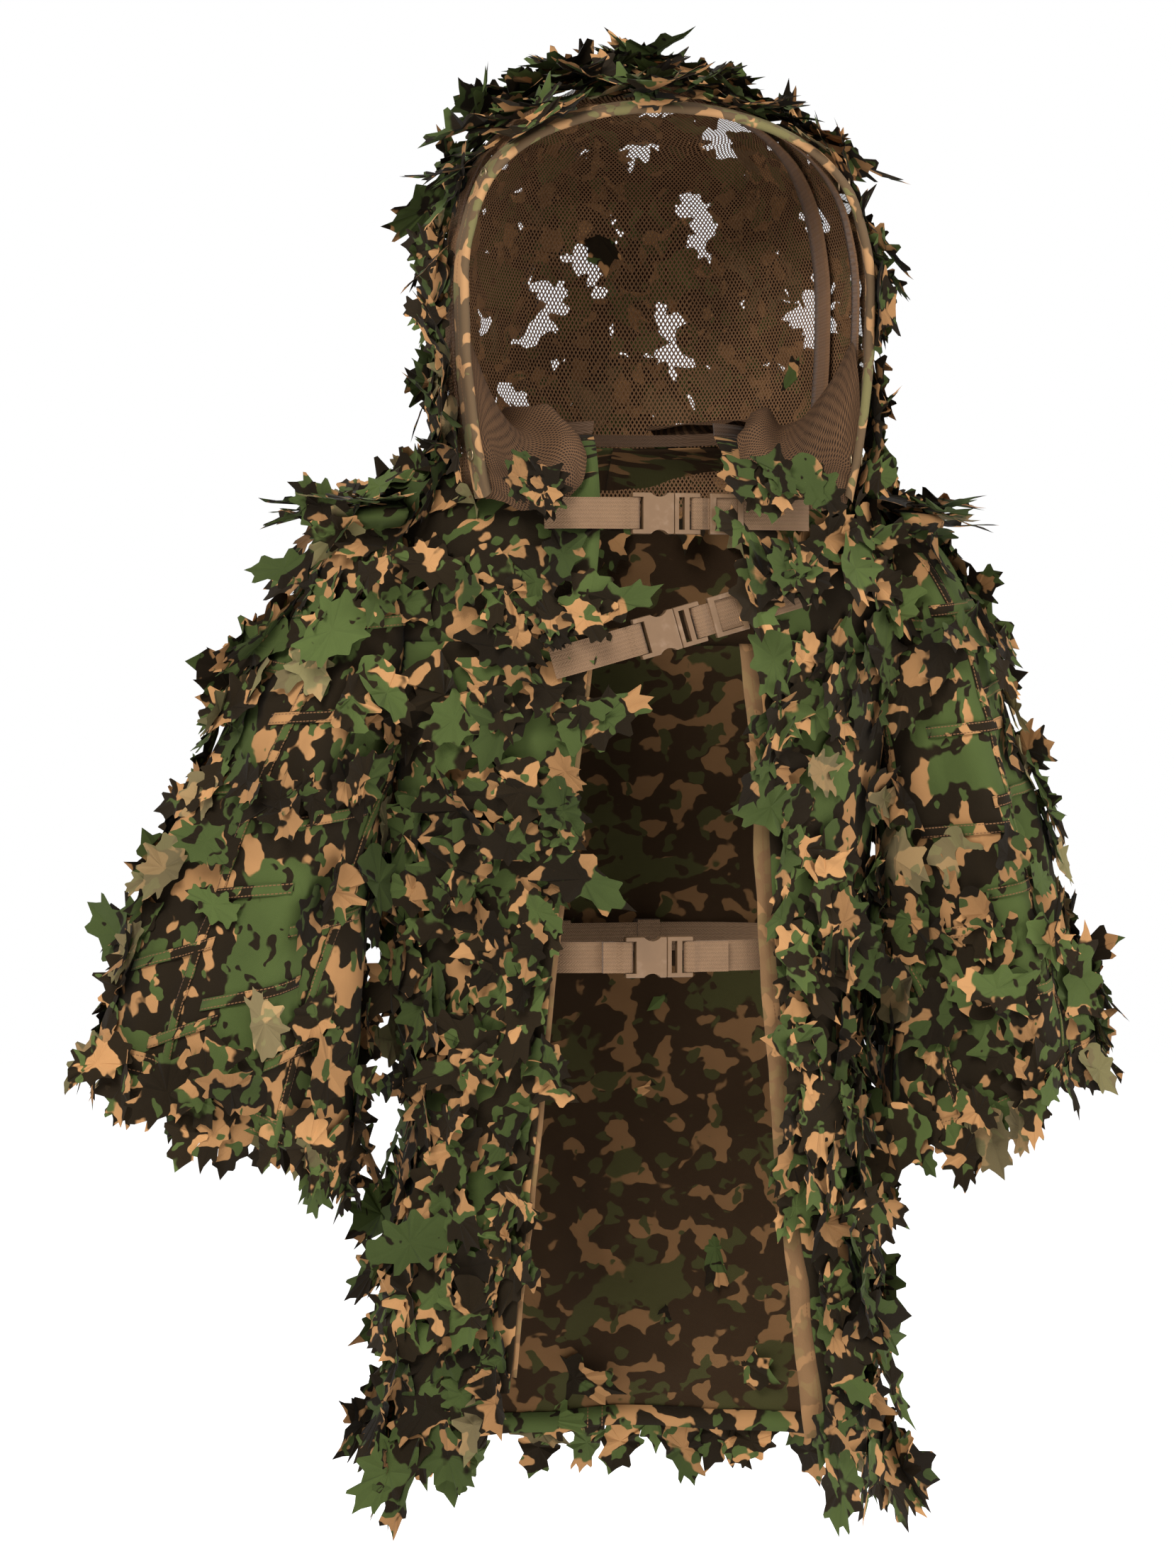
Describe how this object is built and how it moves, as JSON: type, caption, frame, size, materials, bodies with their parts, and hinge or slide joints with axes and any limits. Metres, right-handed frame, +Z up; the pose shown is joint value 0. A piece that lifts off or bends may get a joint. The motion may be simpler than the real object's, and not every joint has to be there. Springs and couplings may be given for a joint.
{
  "type": "ghillie suit",
  "caption": "Long open-front camouflage jacket with a deep mesh hood, wide sleeves, sewn cloth leaves and buckled chest and waist straps.",
  "frame": {"origin": "middle of the neck at the height where the jacket rests on the wearer's shoulders", "axes": "+Z up, the open front faces -Y, +X to the wearer's left"},
  "size_m": [0.8387, 0.3337, 1.2317],
  "materials": {
    "camouflage_cloth": "matte printed woven cloth",
    "leaf_cloth": "matte printed cloth, paler back",
    "netting": "open knitted mesh",
    "binding_tape": "woven tape",
    "webbing": "woven polyester webbing",
    "moulded_plastic": "satin moulded acetal",
    "eyelet_metal": "lacquered"
  },
  "bodies": {
    "root": {"back_hem_tape": "binding_tape", "back_leaves": "leaf_cloth", "back_panel": "camouflage_cloth", "belt_keepers": "webbing", "left_facing": "camouflage_cloth", "left_front_hem_tape": "binding_tape", "left_front_leaves": "leaf_cloth", "left_front_panel": "camouflage_cloth", "left_shoulder_panel": "camouflage_cloth", "lower_buckle_socket": "moulded_plastic", "lower_socket_webbing": "webbing", "neck_binding": "binding_tape", "right_facing": "camouflage_cloth", "right_front_hem_tape": "binding_tape", "right_front_leaves": "leaf_cloth", "right_front_panel": "camouflage_cloth", "right_shoulder_panel": "camouflage_cloth", "shoulder_leaves": "leaf_cloth", "upper_buckle_socket": "moulded_plastic", "upper_socket_webbing": "webbing", "waist_belt": "webbing", "waist_buckle_socket": "moulded_plastic"},
    "hood": {"hood_binding": "binding_tape", "hood_centre_panel": "netting", "hood_eyelets": "eyelet_metal", "hood_leaves": "leaf_cloth", "hood_left_panel": "netting", "hood_right_panel": "netting"},
    "right_sleeve": {"right_cuff_tape": "binding_tape", "right_sleeve_back": "camouflage_cloth", "right_sleeve_front": "camouflage_cloth", "right_sleeve_leaves": "leaf_cloth", "right_sleeve_loops": "binding_tape"},
    "left_sleeve": {"left_cuff_tape": "binding_tape", "left_sleeve_back": "camouflage_cloth", "left_sleeve_front": "camouflage_cloth", "left_sleeve_leaves": "leaf_cloth", "left_sleeve_loops": "binding_tape"},
    "upper_strap_end": {"upper_buckle_prong": "moulded_plastic", "upper_prong_webbing": "webbing"},
    "upper_glide": {"upper_tri_glide": "moulded_plastic"},
    "lower_strap_end": {"lower_buckle_prong": "moulded_plastic", "lower_prong_webbing": "webbing"},
    "lower_glide": {"lower_tri_glide": "moulded_plastic"},
    "waist_strap_end": {"waist_buckle_prong": "moulded_plastic", "waist_prong_webbing": "webbing"}
  },
  "joints": [
    {"name": "hood_fold", "type": "hinge", "parent": "root", "child": "hood", "pos_m": [0, 0.112, 0], "axis": [-1, 0, 0], "range_deg": [0, 70]},
    {"name": "right_arm_lift", "type": "hinge", "parent": "root", "child": "right_sleeve", "pos_m": [-0.206, 0, -0.03], "axis": [0, 1, 0], "range_deg": [0, 70]},
    {"name": "left_arm_lift", "type": "hinge", "parent": "root", "child": "left_sleeve", "pos_m": [0.206, 0, -0.03], "axis": [0, -1, 0], "range_deg": [0, 70]},
    {"name": "upper_buckle_release", "type": "slide", "parent": "root", "child": "upper_strap_end", "axis": [1, 0, 0], "range_m": [0, 0.026]},
    {"name": "upper_glide_slide", "type": "slide", "parent": "upper_strap_end", "child": "upper_glide", "axis": [1, 0, 0], "range_m": [0, 0.01]},
    {"name": "lower_buckle_release", "type": "slide", "parent": "root", "child": "lower_strap_end", "axis": [0.9613, 0, 0.2756], "range_m": [0, 0.026]},
    {"name": "lower_glide_slide", "type": "slide", "parent": "lower_strap_end", "child": "lower_glide", "axis": [0.9613, 0, 0.2756], "range_m": [0, 0.01]},
    {"name": "waist_buckle_release", "type": "slide", "parent": "root", "child": "waist_strap_end", "axis": [1, 0, 0], "range_m": [0, 0.026]}
  ]
}
